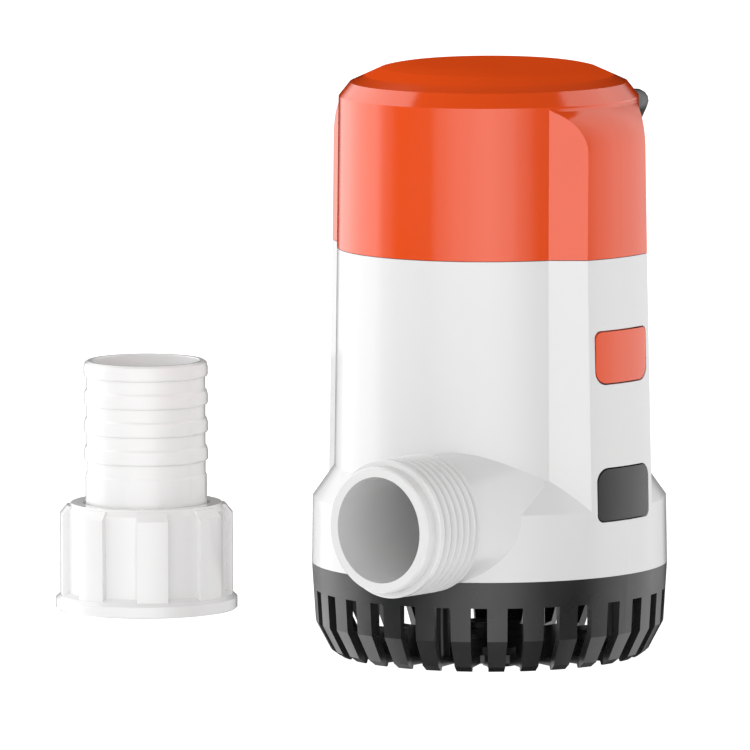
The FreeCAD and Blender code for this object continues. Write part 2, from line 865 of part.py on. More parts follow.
def seals_and_dampers():
    flange_top = S.seam_height + S.seam_gap + S.flange_thickness
    torus("casing_oring", S.oring_circle_radius, S.oring_radius, S.oring_height)
    torus("cap_oring", S.cap_oring_circle_radius, S.oring_radius, flange_top + S.oring_radius + 0.05)
    turned("lower_damper", [
        (S.damper_inner_radius, S.casing_floor),
        (S.casing_bore_radius, S.casing_floor),
        (S.casing_bore_radius, S.can_bottom + 4),
        (S.can_radius + 0.05, S.can_bottom + 4),
        (S.can_radius + 0.05, S.can_bottom),
        (S.damper_inner_radius, S.can_bottom),
    ])
    turned("upper_damper", ring(S.can_radius + 0.05, S.casing_bore_radius,
                                S.upper_damper_bottom, S.upper_damper_top))
    turned("shaft_seal", [
        (S.shaft_radius + S.running_clearance, S.casing_bottom + 2.6),
        (S.shaft_radius + 1.6, S.casing_bottom + 0.2),
        (S.seal_radius, S.casing_bottom + 0.2),
        (S.seal_radius, S.casing_bottom + 4.95),
        (S.shaft_radius + 1.2, S.casing_bottom + 4.95),
        (S.shaft_radius + S.running_clearance, S.casing_bottom + 3.4),
    ])


# ---------------------------------------------------------------- motor


def motor_can():
    body = new_body("motor_can")
    turn(body, [
        (S.shaft_radius + 0.8, S.can_bottom),
        (S.can_radius, S.can_bottom),
        (S.can_radius, S.can_top),
        (S.can_radius - S.can_wall, S.can_top),
        (S.can_radius - S.can_wall, S.can_bottom + S.can_wall),
        (S.can_hub_radius, S.can_bottom + S.can_wall),
        (S.can_hub_radius, S.can_hub_top),
        (S.bush_radius, S.can_hub_top),
        (S.bush_radius, S.can_bottom + S.can_wall),
        (S.shaft_radius + 0.8, S.can_bottom + S.can_wall),
    ])
    places = circle_places(S.can_hub_radius + 6, 0, 2)
    sink(body, [Round(x, y, S.screw_pilot_radius) for x, y in places], S.can_bottom + 3, 4)
    vents = [Round(x, y, 2.0) for x, y in circle_places(16.0, 90, 2)]
    sink(body, vents, S.can_bottom + 3, 4)
    return body


def motor_screws():
    places = circle_places(S.can_hub_radius + 6, 0, 2)
    return screw_set("motor_screws", places, head_bottom=S.casing_bottom + 0.6, head_height=2.0,
                     head_radius=2.7, shank_radius=1.25, length=6.8)


def bush(label, bottom):
    return turned(label, ring(S.shaft_radius + S.running_clearance, S.bush_radius, bottom,
                              bottom + S.bush_length))


def magnet(label, side):
    """One arc magnet, 140 degrees about the X axis."""
    body = new_body(label, 0.0 if side > 0 else 180.0)
    reach = math.radians(70)
    cos, sin = math.cos(reach), math.sin(reach)
    inner, outer = S.magnet_inner_radius, S.magnet_outer_radius
    raise_up(body, [[
        (inner * cos, -inner * sin),
        (outer * cos, -outer * sin, outer),
        (outer, 0, outer),
        (outer * cos, outer * sin),
        (inner * cos, inner * sin, -inner),
        (inner, 0, -inner),
    ]], S.core_bottom - 2, S.core_top - S.core_bottom + 4)
    return body


def end_bell():
    body = new_body("end_bell")
    foot = S.can_top
    top = S.can_top + S.end_bell_thickness
    rim = S.can_radius - S.can_wall - 0.1
    turn(body, [
        (S.bush_radius, foot + 0.1),
        (rim - 1.9, foot + 0.1),
        (rim - 1.9, foot - 2),
        (rim, foot - 2),
        (rim, foot + 0.1),
        (S.can_radius, foot + 0.1),
        (S.can_radius, top),
        (S.bush_radius, top),
    ])
    for side in (1, -1):
        holder_start = S.commutator_radius + 1.5
        holder_end = holder_start + S.brush_length + 2
        half = S.brush_width / 2 + 1.4
        raise_up(body, [block(-half, side * holder_start, half, side * holder_end)],
                 S.commutator_bottom, foot + 1 - S.commutator_bottom)
        channel_half = S.brush_width / 2 + 0.08
        channel = block(-channel_half, side * (holder_start - 1), channel_half,
                        side * (holder_end + 1))
        sink(body, [channel], brush_bottom() + S.brush_thickness + 0.08,
             S.brush_thickness + 0.16)
    return body


def brush_bottom():
    middle = (S.commutator_bottom + S.commutator_top) / 2
    return middle - S.brush_thickness / 2


def brush(label, side):
    body = new_body(label)
    start = side * (S.commutator_radius - 0.5)
    end = side * (S.commutator_radius + S.brush_length)
    half = S.brush_width / 2
    raise_up(body, [block(-half, start, half, end)], brush_bottom(), S.brush_thickness)
    turn(body, ring(0.5, S.commutator_radius + 0.05, S.commutator_bottom - 2,
                    S.commutator_top + 2), cut=True)
    return body


def brush_spring(label, side):
    """A bent leaf that presses the brush inwards, held by the end bell's underside."""
    body = new_body(label)
    thick = S.brush_spring_thickness
    front = S.commutator_radius + S.brush_length + 0.02
    back = front + 4
    bottom, top = brush_bottom() + 0.4, S.can_top + 0.05
    outline = [
        (side * front, bottom),
        (side * (front + thick), bottom),
        (side * (front + thick), bottom + 2.6),
        (side * back, bottom + 2.6),
        (side * back, top),
        (side * (back - thick), top),
        (side * (back - thick), bottom + 2.6 + thick),
        (side * front, bottom + 2.6 + thick),
    ]
    profile = sketch(body, "YZ", [outline], offset=-S.brush_spring_width / 2)
    feature(body, "Pad", profile, Length=S.brush_spring_width)
    return body


def motor_shaft():
    turned("motor_shaft", [
        (0, S.shaft_bottom),
        (S.shaft_radius - 0.3, S.shaft_bottom),
        (S.shaft_radius, S.shaft_bottom + 0.3),
        (S.shaft_radius, S.shaft_top - 0.3),
        (S.shaft_radius - 0.3, S.shaft_top),
        (0, S.shaft_top),
    ])


def armature():
    """The slotted core and the windings that fill its slots and overhang its ends."""
    core = new_body("armature_core")
    turn(core, ring(S.shaft_radius, S.core_radius, S.core_bottom, S.core_top))
    slot_inner, slot_outer = 9.5, S.core_radius - 2.6
    slot = sink(core, [[
        (slot_inner, -1.8),
        (slot_outer, -4.6),
        (slot_outer + 1.2, -0.9),
        (S.core_radius + 1, -0.9),
        (S.core_radius + 1, 0.9),
        (slot_outer + 1.2, 0.9),
        (slot_outer, 4.6),
        (slot_inner, 1.8),
    ]], S.core_top + 1, S.core_top - S.core_bottom + 2)
    around(core, slot, S.core_slots)
    windings = new_body("armature_windings")
    bottom, top = S.core_bottom - S.winding_overhang, S.core_top + S.winding_overhang
    inner, outer, bend = S.winding_inner_radius, S.winding_outer_radius, S.winding_bend
    turn(windings, [
        (inner, bottom + 1),
        (inner + bend, bottom),
        (outer - bend, bottom),
        (outer, bottom + 1),
        (outer, S.core_bottom - 0.02),
        (inner, S.core_bottom - 0.02),
    ])
    wire = raise_up(windings, [[
        (slot_inner + 0.2, -1.6),
        (slot_outer - 0.5, -4.1),
        (slot_outer - 0.5, 4.1),
        (slot_inner + 0.2, 1.6),
    ]], bottom + 1, top - bottom - 2)
    around(windings, wire, S.core_slots)
    turn(windings, [
        (inner, S.core_top + 0.02),
        (outer, S.core_top + 0.02),
        (outer, top - 1),
        (outer - bend, top),
        (inner + bend, top),
        (inner, top - 1),
    ])


def commutator():
    body = new_body("commutator")
    turn(body, [
        (S.shaft_radius, S.commutator_bottom - 1.4),
        (S.commutator_radius + 1.0, S.commutator_bottom - 1.4),
        (S.commutator_radius + 1.0, S.commutator_bottom - 0.4),
        (S.commutator_radius, S.commutator_bottom - 0.4),
        (S.commutator_radius, S.commutator_top),
        (S.shaft_radius, S.commutator_top),
    ])
    gap = sink(body, [block(5.6, -0.25, S.commutator_radius + 2, 0.25)],
               S.commutator_top + 1, S.commutator_top - S.commutator_bottom + 3)
    around(body, gap, S.core_slots)


def impeller():
    body = new_body("impeller")
    turn(body, [
        (S.shaft_radius, S.vane_bottom + 3.4),
        (S.impeller_hub_radius, S.vane_bottom + 3.4),
        (S.impeller_hub_radius, S.impeller_disc_bottom - 3),
        (S.impeller_hub_radius + 3, S.impeller_disc_bottom),
        (S.impeller_radius, S.impeller_disc_bottom),
        (S.impeller_radius, S.impeller_top),
        (S.shaft_radius, S.impeller_top),
    ])
    inner, outer = S.impeller_hub_radius - 0.6, S.impeller_radius - 0.4
    thick = S.vane_thickness
    lean = outer * 0.42
    tip_x = leg(outer, lean)
    vane = raise_up(body, [[
        (inner, -thick / 2, S.impeller_radius * 1.15),
        (tip_x, lean),
        (tip_x - thick * 0.55, lean + thick * 0.9, -S.impeller_radius * 1.15),
        (inner - 0.3, thick / 2),
    ]], S.vane_bottom, S.impeller_disc_bottom + 0.5 - S.vane_bottom)
    around(body, vane, S.vane_count)
    return body


def impeller_nut():
    body = new_body("impeller_nut")
    across = 4.1
    corners = circle_places(Size(across, text(across)), 0, 6)
    raise_up(body, [corners], S.vane_bottom + 0.6, 2.8)
    turn(body, ring(0, S.shaft_radius + 0.01, S.vane_bottom, S.vane_bottom + 4), cut=True)
    return body


def choke_lead_top():
    return S.can_top + S.end_bell_thickness + S.choke_length + 4


def suppression_parts():
    """Two chokes and a capacitor between the cable and the brushes."""
    top = S.can_top + S.end_bell_thickness
    for label, side in (("choke_left", -1), ("choke_right", 1)):
        body = new_body(label)
        x, y = side * S.choke_x, S.choke_y
        raise_up(body, [Round(x, y, S.choke_wire_radius)], top, choke_lead_top() - top)
        raise_up(body, [Round(x, y, S.choke_radius)], top + 2, S.choke_length)
    capacitor = new_body("noise_capacitor")
    disc = sketch(capacitor, "XZ", [Round(0, top + 5.5, S.capacitor_radius)], offset=8.0)
    feature(capacitor, "Pad", disc, Length=S.capacitor_thickness)
    legs = [Round(x, -9.3, 0.5) for x in (-2.5, 2.5)]
    raise_up(capacitor, legs, top, 3.0)


# ---------------------------------------------------------------- snap buttons


def snap_latch(label, spin, centre, radius, low_corner, high_corner, arm_low, arm_high):
    """A button in a lug's window, on a springy arm that hangs inside the lug."""
    body = new_body(label, spin)
    start = S.arm_inner_radius - 4
    reach = 14.0
    arm = block(-S.arm_half_width, arm_low, S.arm_half_width, arm_high)
    feature(body, "Pad", sketch(body, "YZ", [arm], offset=start), Length=reach)
    low, high = arm_low - 5, arm_high + 5
    turn(body, ring(S.arm_outer_radius, S.arm_outer_radius + 14, low, high), cut=True)
    face = rounded_window(S.button_half_width, S.button_half_height, centre, low_corner, high_corner)
    feature(body, "Pad", sketch(body, "YZ", [face], offset=start), Length=reach)
    turn(body, ring(radius, radius + 12, low, high), cut=True)
    turn(body, ring(S.arm_inner_radius - 8, S.arm_inner_radius, low, high), cut=True)
    return body


def snap_latches():
    for label, spin in (("right", 0.0), ("left", 180.0)):
        snap_latch(f"cap_latch_{label}", spin, S.cap_button_height, S.cap_button_radius,
                   S.button_large_corner, S.button_small_corner,
                   S.cap_button_height - 5, S.cap_arm_top)
        snap_latch(f"strainer_latch_{label}", spin, S.strainer_button_height,
                   S.strainer_button_radius, S.button_small_corner, S.button_large_corner,
                   S.strainer_arm_bottom, S.strainer_button_height + 5)


# ---------------------------------------------------------------- cable


def rounded_path(points):
    """Straight runs joined by tangent arcs. An arc's radius is 0.45 of its shorter run over the
    tangent of half the turn."""
    points = [Vector(*point) for point in points]
    edges = []
    radii = []
    at = points[0]
    for index in range(1, len(points) - 1):
        before, corner, after = points[index - 1:index + 2]
        inward, outward = (corner - before).normalize(), (after - corner).normalize()
        run = min((corner - before).Length, (after - corner).Length)
        half_turn = inward.getAngle(outward) / 2
        setback = 0.45 * run
        radius = setback / math.tan(half_turn)
        radii.append(radius)
        start, end = corner - inward * setback, corner + outward * setback
        bisector = (outward - inward).normalize()
        middle = corner + bisector * (radius / math.cos(half_turn) - radius)
        edges.append(Part.LineSegment(at, start).toShape())
        edges.append(Part.Arc(start, middle, end).toShape())
        at = end
    edges.append(Part.LineSegment(at, points[-1]).toShape())
    return Part.Wire(edges), radii


def tube(label, points, radius):
    """A round tube along a route, checked against section times length."""
    path, radii = rounded_path(points)
    heading = Vector(*points[1]) - Vector(*points[0])
    section = Part.Wire(Part.Circle(Vector(*points[0]), heading, radius).toShape())
    solid = path.makePipeShell([section], True, True)
    expected = math.pi * radius * radius * path.Length
    if abs(solid.Volume / expected - 1) > 0.01:
        raise RuntimeError(f"{label}: volume {solid.Volume:.0f}, expected {expected:.0f}")
    print(f"{label}: {path.Length:.0f} mm, arc radii", [round(found, 1) for found in radii])
    return part_solid(label, solid)


def cable_route():
    """Out of the gland, round and down behind the pump, then along the floor to the coil."""
    top = S.cable_height.value
    floor = S.cable_radius.value
    return [
        (0, S.gland_web_y.value, top),
        (0, 57.5, top),
        (-9, 68, top - 2.5),
        (-20.5, 72, top - 17.5),
        (-27, 73, top - 36.5),
        (-29, 74, top - 58.5),
        (-28, 73.5, top - 81.5),
        (-28.5, 75, top - 101.5),
        (-31, 81, top - 118.5),
        (-36, 91, floor + 1.2),
        (-45, 102, floor),
        (-54, 112, floor),
        (-62, 124, floor),
    ]


def cable_parts():
    gland = new_body("cable_gland")
    profile = sketch(gland, "XY", [[
        (0, S.gland_inner_y),
        (S.gland_flange_radius, S.gland_inner_y),
        (S.gland_flange_radius, S.gland_inner_y + 2),
        (3.55, S.gland_inner_y + 2),
        (3.55, 36.6),
        (4.6, 36.6),
        (4.6, 38.4),
        (S.cable_radius + 0.5, S.gland_tip_y),
        (S.cable_radius + 0.02, S.gland_tip_y),
        (S.cable_radius + 0.02, S.gland_web_y),
        (0, S.gland_web_y),
    ]], offset=S.cable_height)
    feature(gland, "Revolution", profile, ReferenceAxis=(profile, ["V_Axis"]), Angle=360.0)
    tube("supply_cable", cable_route(), S.cable_radius.value)
    coil = new_body("cable_coil", at=(S.coil_x, S.coil_y, 0))
    half = S.cable_radius * 2
    turn(coil, ring(S.coil_mean_radius - half, S.coil_mean_radius + half, 0, S.cable_radius * 4))
    for colour, side in (("red", 1), ("black", -1)):
        wire_end(f"core_{colour}", side)
        inner_lead(f"lead_{colour}", side)


def wire_end(label, side):
    """One bare-ended core. The pair leaves the end of the sheath beside the coil, drops to the
    floor and spreads."""
    angle = math.radians(S.sheath_end_angle.value)
    outward = Vector(math.cos(angle), math.sin(angle), 0)
    onward = Vector(-math.sin(angle), math.cos(angle), 0)
    centre = Vector(S.coil_x.value, S.coil_y.value, 0)
    clear_of_coil = (S.coil_mean_radius + S.cable_radius * 2 + S.core_wire_radius * 2).value + 0.05
    route = []
    for distance, spread, height in (
        (0, 1.22, S.cable_radius.value),
        (6, 1.22, S.cable_radius.value),
        (16, 2.4, S.core_wire_radius.value),
        (25, 3.4, S.core_wire_radius.value),
        (34, 3.4, S.core_wire_radius.value),
    ):
        place = centre + outward * (clear_of_coil + side * spread) + onward * distance
        route.append((place.x, place.y, height))
    tube(label, route, S.core_wire_radius.value)


def inner_lead(label, side):
    """One core from the gland's inner end to the top of its choke."""
    height = S.cable_height.value
    choke_x, choke_y, choke_top = S.choke_x.value, S.choke_y.value, choke_lead_top().value
    route = [
        (side * 1.35, S.gland_inner_y.value, height),
        (side * 1.35, S.gland_inner_y.value - 7, height),
        (side * 4, choke_y + 6, height + 2),
        (side * choke_x, choke_y, height + 1.5),
        (side * choke_x, choke_y, choke_top),
    ]
    tube(label, route, S.core_wire_radius.value)


# ---------------------------------------------------------------- hose adapter


def hose_tail():
    body = new_body("hose_tail", at=(S.adapter_x, S.adapter_y, 0))
    bore, neck = S.tail_bore_radius, S.tail_neck_radius
    outline = [
        (bore, S.tail_bottom),
        (S.tail_foot_radius, S.tail_bottom),
        (S.tail_foot_radius, S.ring_bottom - 0.1),
        (S.ring_groove_radius, S.ring_bottom - 0.1),
        (S.ring_groove_radius, S.ring_bottom + S.ring_thickness + 0.1),
        (neck, S.ring_bottom + S.ring_thickness + 0.1),
        (neck, S.barb_bottom - 0.6),
        (S.barb_groove_radius, S.barb_bottom),
    ]
    pitch = S.barb_band + S.barb_groove
    for index in range(DRIVING_SIZES["barb_count"]):
        foot = S.barb_bottom + pitch * index + S.barb_groove
        outline += [
            (S.barb_groove_radius, foot),
            (S.barb_radius - 0.15, foot + 0.15),
            (S.barb_radius, foot + 0.5),
            (S.barb_radius, foot + S.barb_band - 1.6),
            (S.barb_radius - 0.25, foot + S.barb_band - 0.5),
            (S.barb_groove_radius, foot + S.barb_band),
        ]
    top = S.barb_bottom + pitch * DRIVING_SIZES["barb_count"]
    outline[-1] = (S.barb_groove_radius - 0.3, top)
    outline += [(bore + 0.2, top), (bore, top - 0.3)]
    turn(body, outline)
    return body


def union_nut():
    body = new_body("union_nut", at=(S.adapter_x, S.adapter_y, 0))
    turn(body, [
        (0, 0),
        (S.nut_flange_radius - 0.3, 0),
        (S.nut_flange_radius, 0.3),
        (S.nut_flange_radius, S.nut_flange_height - 0.8),
        (S.nut_rib_radius + 0.2, S.nut_flange_height),
        (S.nut_wall_radius, S.nut_flange_height + 0.8),
        (S.nut_wall_radius, S.nut_height - 1.6),
        (S.nut_wall_radius - 1.2, S.nut_height),
        (0, S.nut_height),
    ])
    rib = rib_feature(body)
    around(body, rib, S.nut_rib_count)
    turn(body, ring(0, S.nut_hole_radius, S.nut_height - 10, S.nut_height + 1), cut=True)
    turn(body, ring(0, S.nut_chamber_radius, S.nut_thread_top, S.nut_chamber_top), cut=True)
    turn(body, ring(0, S.thread_root_radius, -1, S.nut_thread_top + 1), cut=True)
    turn(body, [
        (0, -1),
        (S.thread_crest_radius + 0.3, -1),
        (S.thread_crest_radius + 0.3, 0.6),
        (S.thread_root_radius, 2.0),
        (0, 2.0),
    ], cut=True)
    valley = turn(body, [
        (S.thread_root_radius - 0.4, 2.4),
        (S.thread_crest_radius + 0.1, 3.5),
        (S.thread_crest_radius + 0.1, 3.8),
        (S.thread_root_radius - 0.4, 4.9),
    ], cut=True)
    pattern = body.newObject("PartDesign::LinearPattern", "nut_thread_pattern")
    pattern.Originals = [valley]
    pattern.Direction = (origin_feature(body, "Z_Axis"), [""])
    pattern.Mode = "Spacing"
    bind(pattern, "Offset", S.thread_pitch)
    pattern.Occurrences = 4
    body.Tip = pattern
    return body


def rib_feature(body):
    """One grip rib: a raised sector with a sloping top that runs back into the nut's shoulder."""
    half_angle = math.radians(10.5)
    cos, sin = math.cos(half_angle), math.sin(half_angle)
    inner, outer = S.nut_wall_radius - 1.5, S.nut_rib_radius
    foot = S.nut_flange_height - 0.4
    profile = sketch(body, "XZ", [[
        (inner, foot),
        (outer, foot),
        (outer, S.nut_height - 2.6),
        (outer - 1.7, S.nut_height - 0.5),
        (inner, S.nut_height - 0.5),
    ]])
    rib = feature(body, "Revolution", profile, ReferenceAxis=(profile, ["V_Axis"]),
                  Angle=21.0, Midplane=True)
    return rib


def adapter_seals():
    place = (S.adapter_x, S.adapter_y, 0)
    gasket = new_body("hose_gasket", at=place)
    turn(gasket, ring(S.outlet_bore_radius, S.tail_foot_radius, S.tail_bottom - 2.0, S.tail_bottom))
    split = new_body("retaining_ring", at=place)
    bottom, thickness = S.ring_bottom, S.ring_thickness
    turn(split, ring(S.ring_groove_radius + 0.1, S.nut_chamber_radius - 0.5, bottom,
                     bottom + thickness))
    gap = block(S.ring_groove_radius - 2, -1.2, S.nut_chamber_radius + 1, 1.2)
    sink(split, [gap], bottom + thickness + 1, thickness + 2)


# ---------------------------------------------------------------- build, check and write


def build():
    strainer_base()
    intake_plate()
    intake_plate_screws()
    pump_housing()
    motor_cap()
    motor_casing()
    seals_and_dampers()
    motor_can()
    motor_screws()
    bush("lower_bush", S.can_bottom + S.can_wall)
    bush("upper_bush", S.can_top)
    magnet("magnet_right", 1)
    magnet("magnet_left", -1)
    end_bell()
    for name, way in (("front", -1), ("back", 1)):
        brush(f"brush_{name}", way)
        brush_spring(f"brush_spring_{name}", way)
    motor_shaft()
    armature()
    commutator()
    impeller()
    impeller_nut()
    suppression_parts()
    snap_latches()
    cable_parts()
    hose_tail()
    union_nut()
    adapter_seals()
    doc.recompute()


def is_sub_part(found):
    """Bodies, and the top objects of the Part workbench that nothing else uses."""
    if found.TypeId == "PartDesign::Body":
        return True
    return found.TypeId.startswith("Part::") and not found.InList


def check_document():
    """Every feature recomputed, every cut took something away, every sub-part is solid."""
    problems = []
    for found in doc.Objects:
        if {"Invalid", "Error"} & set(found.State):
            problems.append(f"{found.Label} did not recompute: {found.getStatusString()}")
        elif found.TypeId in ("PartDesign::Pocket", "PartDesign::Groove"):
            base = found.BaseFeature
            if base is not None and base.Shape.Volume - found.Shape.Volume < 0.05:
                problems.append(f"{found.Label} cuts nothing")
    for found in filter(is_sub_part, doc.Objects):
        if found.Shape.isNull() or not found.Shape.isValid() or not found.Shape.Solids:
            problems.append(f"{found.Label} has no valid solid")
    if problems:
        raise RuntimeError("; ".join(problems))


def write_parts():
    os.makedirs("parts", exist_ok=True)
    for found in filter(is_sub_part, doc.Objects):
        found.Shape.exportStep(os.path.join("parts", f"{found.Label}.step"))


build()
check_document()
write_parts()
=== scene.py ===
import json
import math

import bpy
from mathutils import Euler, Matrix, Vector


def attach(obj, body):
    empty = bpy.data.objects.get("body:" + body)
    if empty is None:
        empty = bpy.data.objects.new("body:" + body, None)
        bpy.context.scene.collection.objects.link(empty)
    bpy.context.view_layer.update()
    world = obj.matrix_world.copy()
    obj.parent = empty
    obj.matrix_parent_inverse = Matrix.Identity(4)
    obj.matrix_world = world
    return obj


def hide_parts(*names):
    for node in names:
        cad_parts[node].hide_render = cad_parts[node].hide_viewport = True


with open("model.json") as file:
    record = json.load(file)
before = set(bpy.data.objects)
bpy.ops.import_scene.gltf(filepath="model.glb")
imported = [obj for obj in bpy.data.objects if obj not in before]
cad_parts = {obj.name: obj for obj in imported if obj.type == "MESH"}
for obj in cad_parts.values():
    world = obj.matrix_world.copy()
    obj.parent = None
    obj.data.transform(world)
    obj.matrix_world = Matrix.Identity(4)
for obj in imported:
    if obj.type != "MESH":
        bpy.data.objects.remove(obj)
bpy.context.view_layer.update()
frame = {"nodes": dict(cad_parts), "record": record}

# ---------------------------------------------------------------- node helpers


def new_material(name):
    """A node material and its shader."""
    material = bpy.data.materials.new(name)
    material.use_nodes = True
    return material, material.node_tree.nodes["Principled BSDF"]


def node(material, kind, **settings):
    made = material.node_tree.nodes.new(kind)
    for key, value in settings.items():
        if key in made.inputs:
            made.inputs[key].default_value = value
        else:
            setattr(made, key, value)
    return made


def link(material, source, target):
    material.node_tree.links.new(source, target)


def noise(material, scale, detail=3.0, stretch=(1, 1, 1)):
    """Noise over the piece's own coordinates, in features per metre."""
    place = node(material, "ShaderNodeTexCoord")
    mapping = node(material, "ShaderNodeMapping")
    mapping.inputs["Scale"].default_value = stretch
    made = node(material, "ShaderNodeTexNoise", Scale=scale, Detail=detail)
    link(material, place.outputs["Object"], mapping.inputs["Vector"])
    link(material, mapping.outputs["Vector"], made.inputs["Vector"])
    return made.outputs["Fac"]


def wave(material, scale, direction="Z", distortion=0.0):
    """Parallel bands across one of the piece's own axes."""
    place = node(material, "ShaderNodeTexCoord")
    made = node(material, "ShaderNodeTexWave", Scale=scale, Distortion=distortion)
    made.bands_direction = direction
    link(material, place.outputs["Object"], made.inputs["Vector"])
    return made.outputs["Fac"]


def spread(material, source, low, high, start=0.3, end=0.7):
    """Map a 0 to 1 pattern to a range."""
    made = node(material, "ShaderNodeMapRange")
    for name, value in (("From Min", start), ("From Max", end), ("To Min", low), ("To Max", high)):
        made.inputs[name].default_value = value
    link(material, source, made.inputs["Value"])
    return made.outputs["Result"]


def two_tone(material, source, first, second):
    """Colour that runs from first to second with a 0 to 1 pattern."""
    made = node(material, "ShaderNodeMix", data_type="RGBA")
    made.inputs["A"].default_value = (*first, 1)
    made.inputs["B"].default_value = (*second, 1)
    link(material, source, made.inputs["Factor"])
    return made.outputs["Result"]


def bump(material, shader, source, depth, strength=1.0):
    """Raise the surface by depth metres where the pattern is white."""
    made = node(material, "ShaderNodeBump", Strength=strength, Distance=depth)
    link(material, source, made.inputs["Height"])
    link(material, made.outputs["Normal"], shader.inputs["Normal"])


# ---------------------------------------------------------------- materials


def moulded(name, colour, roughness, grain=0.000004, variation=0.03, specular=0.5):
    """Injection-moulded plastic: faint flow mottling, uneven gloss and a very fine orange peel."""
    material, shader = new_material(name)
    flow = spread(material, noise(material, 38, 4, (1, 1, 0.35)), 0, 1)
    darker = tuple(channel * (1 - variation) for channel in colour)
    link(material, two_tone(material, flow, colour, darker), shader.inputs["Base Color"])
    gloss = spread(material, noise(material, 140, 5), roughness * 0.85, roughness * 1.2)
    link(material, gloss, shader.inputs["Roughness"])
    shader.inputs["Specular IOR Level"].default_value = specular
    bump(material, shader, noise(material, 900, 2), grain, 0.6)
    return material


def matt_above(material, height, gloss):
    """Fade the gloss to nothing just above a height, as on a textured top."""
    place = node(material, "ShaderNodeTexCoord")
    split = node(material, "ShaderNodeSeparateXYZ")
    link(material, place.outputs["Object"], split.inputs["Vector"])
    level = spread(material, split.outputs["Z"], gloss, 0.0, height, height + 0.0015)
    link(material, level, material.node_tree.nodes["Principled BSDF"].inputs["Specular IOR Level"])


def rubber(name, colour, roughness, grain_scale=2600):
    """Matt moulded rubber or PVC with a fine grain and a dusty bloom."""
    material, shader = new_material(name)
    bloom = spread(material, noise(material, 60, 5), 0, 1)
    paler = tuple(channel * 1.5 + 0.008 for channel in colour)
    link(material, two_tone(material, bloom, colour, paler), shader.inputs["Base Color"])
    link(material, spread(material, noise(material, 300, 4), roughness * 0.8, roughness * 1.15),
         shader.inputs["Roughness"])
    bump(material, shader, noise(material, grain_scale, 3), 0.00002, 0.5)
    return material


def metal(name, colour, roughness, stretch=(1, 1, 12), scale=400, lines=None):
    """Turned or drawn metal: fine lines along one direction, uneven roughness."""
    material, shader = new_material(name)
    shader.inputs["Metallic"].default_value = 1.0
    pattern = lines(material) if lines else noise(material, scale, 6, stretch)
    darker = tuple(channel * 0.72 for channel in colour)
    link(material, two_tone(material, spread(material, pattern, 0, 1), colour, darker),
         shader.inputs["Base Color"])
    link(material, spread(material, noise(material, 220, 5), roughness * 0.75, roughness * 1.3),
         shader.inputs["Roughness"])
    bump(material, shader, pattern, 0.00003, 0.5)
    return material


def speckled(name, colour, second, roughness, scale):
    """Sintered or pressed powder: visible grains of two tones."""
    material, shader = new_material(name)
    grains = spread(material, noise(material, scale, 8), 0, 1, 0.42, 0.58)
    link(material, two_tone(material, grains, colour, second), shader.inputs["Base Color"])
    shader.inputs["Roughness"].default_value = roughness
    bump(material, shader, grains, 0.00003, 0.6)
    return material


CAP_GLOSS = 0.72
CAP_TOP_STARTS = 0.1388

MATERIALS = {
    "white_plastic": moulded("white_plastic", (0.80, 0.80, 0.80), 0.16),
    "orange_plastic": moulded("orange_plastic", (0.83, 0.080, 0.010), 0.12, variation=0.04,
                              specular=CAP_GLOSS),
    "black_plastic": moulded("black_plastic", (0.020, 0.020, 0.021), 0.30, 0.000010, 0.06),
    "impeller_plastic": moulded("impeller_plastic", (0.62, 0.61, 0.57), 0.35),
    "seal_rubber": rubber("seal_rubber", (0.022, 0.022, 0.023), 0.55),
    "cable_sheath": rubber("cable_sheath", (0.030, 0.030, 0.031), 0.40),
    "core_red": rubber("core_red", (0.42, 0.018, 0.012), 0.40),
    "stainless": metal("stainless", (0.58, 0.58, 0.59), 0.24),
    "zinc_steel": metal("zinc_steel", (0.50, 0.52, 0.54), 0.32),
    "core_steel": metal("core_steel", (0.30, 0.30, 0.32), 0.45,
                        lines=lambda m: wave(m, 320)),
    "bronze": speckled("bronze", (0.36, 0.20, 0.07), (0.22, 0.12, 0.045), 0.5, 5200),
    "copper": metal("copper", (0.66, 0.25, 0.08), 0.28, lines=lambda m: wave(m, 260, "Y", 1.2)),
    "ferrite": speckled("ferrite", (0.035, 0.035, 0.038), (0.065, 0.065, 0.068), 0.6, 4200),
    "carbon": speckled("carbon", (0.020, 0.020, 0.021), (0.05, 0.05, 0.052), 0.5, 6000),
    "capacitor_ceramic": moulded("capacitor_ceramic", (0.55, 0.26, 0.06), 0.3, variation=0.15),
}
matt_above(MATERIALS["orange_plastic"], CAP_TOP_STARTS, CAP_GLOSS)
# Lighter copy of the white plastic for the hose adapter: painted light, standing in for the
# brighter light on the adapter.
ADAPTER_WHITE_PAINTED_LIGHT = moulded("adapter_white_painted_light", (0.85, 0.85, 0.85), 0.16)


def finish_cad_nodes():
    """Give every CAD node the material of its slot; the hose adapter gets a lighter copy of the
    white plastic, which is painted light for the brighter light that falls on it.
    """
    for entry in frame["record"]["subparts"]:
        piece = frame["nodes"][entry["node"]]
        piece.data.materials.clear()
        piece.data.materials.append(MATERIALS[entry["material_slot"]])
    for name in ("hose_tail", "union_nut"):
        frame["nodes"][name].data.materials.clear()
        frame["nodes"][name].data.materials.append(ADAPTER_WHITE_PAINTED_LIGHT)


finish_cad_nodes()

# ---------------------------------------------------------------- supply cable

CABLE_DIAMETER = 0.0056
CABLE_EXIT = (0, 0.038, 0.1305)
COIL_CENTRE = Vector((-0.086, 0.104, 0))
COIL_MEAN_RADIUS = 0.031
COIL_POINTS_PER_TURN = 18
CABLE_ROUTE = [
    CABLE_EXIT,
    (0, 0.0575, 0.1305),
    (-0.009, 0.068, 0.128),
    (-0.0205, 0.072, 0.113),
    (-0.027, 0.073, 0.094),
    (-0.029, 0.074, 0.072),
    (-0.028, 0.0735, 0.049),
    (-0.0285, 0.075, 0.029),
    (-0.031, 0.081, 0.012),
    (-0.036, 0.091, 0.004),
    (-0.0445, 0.1015, 0.0028),
    (-0.0515, 0.1125, 0.0028),
]


